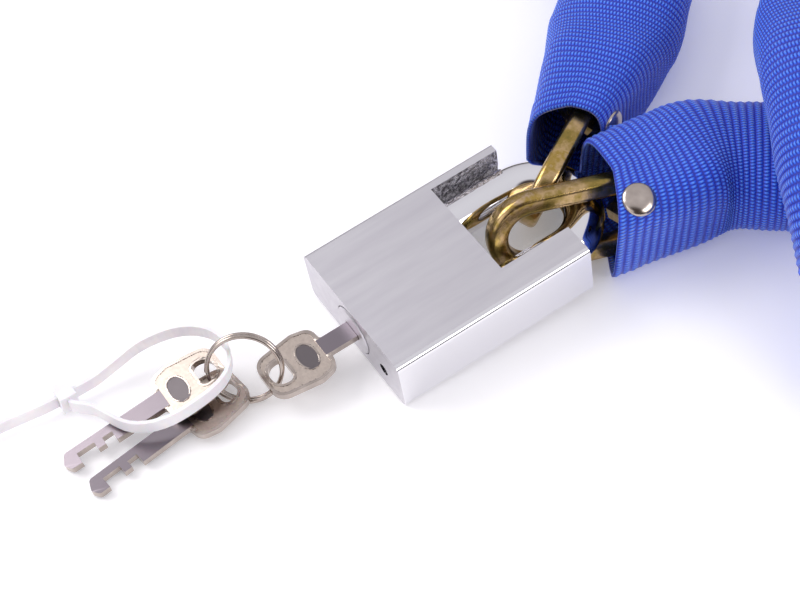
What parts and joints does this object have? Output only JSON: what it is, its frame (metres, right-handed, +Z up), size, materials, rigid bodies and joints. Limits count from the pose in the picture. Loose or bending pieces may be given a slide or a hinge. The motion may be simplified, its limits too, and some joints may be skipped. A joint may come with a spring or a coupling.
{
  "type": "sleeved security chain with padlock",
  "caption": "Hardened chain in a blue woven sleeve, joined by a block padlock, with keys on a split ring and a cable tie.",
  "frame": {"origin": "centre of the padlock's back face, which is tipped nose up by 4 degrees so that the chain's end links fit under the shackle", "axes": "+X from the key end towards the shackle, along the table; +Z up from the table; +Y across the padlock towards the shackle's short leg"},
  "size_m": [0.4154, 0.3659, 0.0606],
  "materials": {
    "chrome": "polished",
    "satin_chrome": "satin",
    "brass": "machined",
    "steel": "machined",
    "yellow_zinc": "yellow zinc plated",
    "nickel": "nickel plated",
    "blue_nylon": "woven",
    "white_nylon": "satin"
  },
  "bodies": {
    "lock": {"lock_body": "satin_chrome", "cylinder_housing": "brass", "housing_pin": "steel", "bore_stop_screw": "steel", "shackle_spring": "steel"},
    "plug": {"cylinder_plug": "satin_chrome", "plug_clip": "steel", "drive_cam": "steel"},
    "toe_ball": {"locking_ball_toe": "steel"},
    "heel_ball": {"locking_ball_heel": "steel"},
    "shackle_and_chain": {"shackle": "chrome", "sleeve": "blue_nylon", "rivet_a": "nickel", "rivet_b": "nickel", "rivet_washer_a": "nickel", "rivet_washer_b": "nickel", "chain_link_01": "yellow_zinc", "chain_link_02": "yellow_zinc", "chain_link_03": "yellow_zinc", "chain_link_04": "yellow_zinc", "chain_link_05": "yellow_zinc", "chain_link_06": "yellow_zinc", "chain_link_07": "yellow_zinc", "chain_link_08": "yellow_zinc", "chain_link_09": "yellow_zinc", "chain_link_10": "yellow_zinc", "chain_link_11": "yellow_zinc", "chain_link_12": "yellow_zinc", "chain_link_13": "yellow_zinc", "chain_link_14": "yellow_zinc", "chain_link_15": "yellow_zinc", "chain_link_16": "yellow_zinc", "chain_link_17": "yellow_zinc", "chain_link_18": "yellow_zinc", "chain_link_19": "yellow_zinc", "chain_link_20": "yellow_zinc", "chain_link_21": "yellow_zinc", "chain_link_22": "yellow_zinc", "chain_link_23": "yellow_zinc"},
    "link_a": {"end_link_a": "yellow_zinc"},
    "link_b": {"end_link_b": "yellow_zinc"},
    "working_key": {"key_1": "nickel"},
    "split_ring": {"key_ring": "nickel"},
    "spare_key_upper": {"key_2": "nickel"},
    "spare_key_lower": {"key_3": "nickel"},
    "tie": {"cable_tie": "white_nylon"},
    "wafer_1": {"wafer_1": "brass"},
    "wafer_2": {"wafer_2": "brass"},
    "wafer_3": {"wafer_3": "brass"},
    "wafer_4": {"wafer_4": "brass"}
  },
  "joints": [
    {"name": "plug_turn", "type": "hinge", "parent": "lock", "child": "plug", "pos_m": [-0.00073, 0, 0.01047], "axis": [0.9976, 0, 0.0698], "range_deg": [-90, 0]},
    {"name": "toe_ball_push", "type": "slide", "parent": "lock", "child": "toe_ball", "axis": [0, 1, 0], "range_m": [0, 0.0024]},
    {"name": "heel_ball_push", "type": "slide", "parent": "lock", "child": "heel_ball", "axis": [0, -1, 0], "range_m": [0, 0.0024]},
    {"name": "shackle_lift", "type": "slide", "parent": "lock", "child": "shackle_and_chain", "axis": [0.9976, 0, 0.0698], "range_m": [0, 0.015]},
    {"name": "link_a_roll", "type": "hinge", "parent": "shackle_and_chain", "child": "link_a", "pos_m": [0.0715, 0.0271, 0.0141], "axis": [0.8471, 0.531, 0.022], "range_deg": [-0.5, 0.5]},
    {"name": "link_b_roll", "type": "hinge", "parent": "shackle_and_chain", "child": "link_b", "pos_m": [0.0596, -0.0149, 0.0131], "axis": [0.9518, -0.304, -0.04], "range_deg": [-0.5, 0.5]},
    {"name": "key_insert", "type": "slide", "parent": "plug", "child": "working_key", "axis": [-0.9976, 0, -0.0698], "range_m": [0, 0.03]},
    {"name": "ring_swing", "type": "hinge", "parent": "working_key", "child": "split_ring", "pos_m": [-0.06309, -0.00058, 0.00618], "axis": [0.4438, 0.2039, 0.8726], "range_deg": [0, 30]},
    {"name": "upper_key_swing", "type": "hinge", "parent": "split_ring", "child": "spare_key_upper", "pos_m": [-0.08164, 0.01251, 0.00735], "axis": [0.118, 0.4341, 0.8931], "range_deg": [0, 5]},
    {"name": "lower_key_swing", "type": "hinge", "parent": "split_ring", "child": "spare_key_lower", "pos_m": [-0.0799, 0.00752, 0.00069], "axis": [-0.498, 0.6579, 0.5649], "range_deg": [0, 4]},
    {"name": "tie_swing", "type": "hinge", "parent": "split_ring", "child": "tie", "pos_m": [-0.074, 0.01, 0.0119], "axis": [0, 1, 0], "range_deg": [0, 8]},
    {"name": "wafer_1_slide", "type": "slide", "parent": "plug", "child": "wafer_1", "axis": [0, 1, 0], "range_m": [-0.0004, 0.0004]},
    {"name": "wafer_2_slide", "type": "slide", "parent": "plug", "child": "wafer_2", "axis": [0, 1, 0], "range_m": [-0.0004, 0.0004]},
    {"name": "wafer_3_slide", "type": "slide", "parent": "plug", "child": "wafer_3", "axis": [0, 1, 0], "range_m": [-0.0004, 0.0004]},
    {"name": "wafer_4_slide", "type": "slide", "parent": "plug", "child": "wafer_4", "axis": [0, 1, 0], "range_m": [-0.0004, 0.0004]}
  ],
  "couplings": [
    {"joint": "toe_ball_push", "follows": "plug_turn", "m_per_rad": -0.0015279},
    {"joint": "heel_ball_push", "follows": "plug_turn", "m_per_rad": -0.0015279}
  ]
}
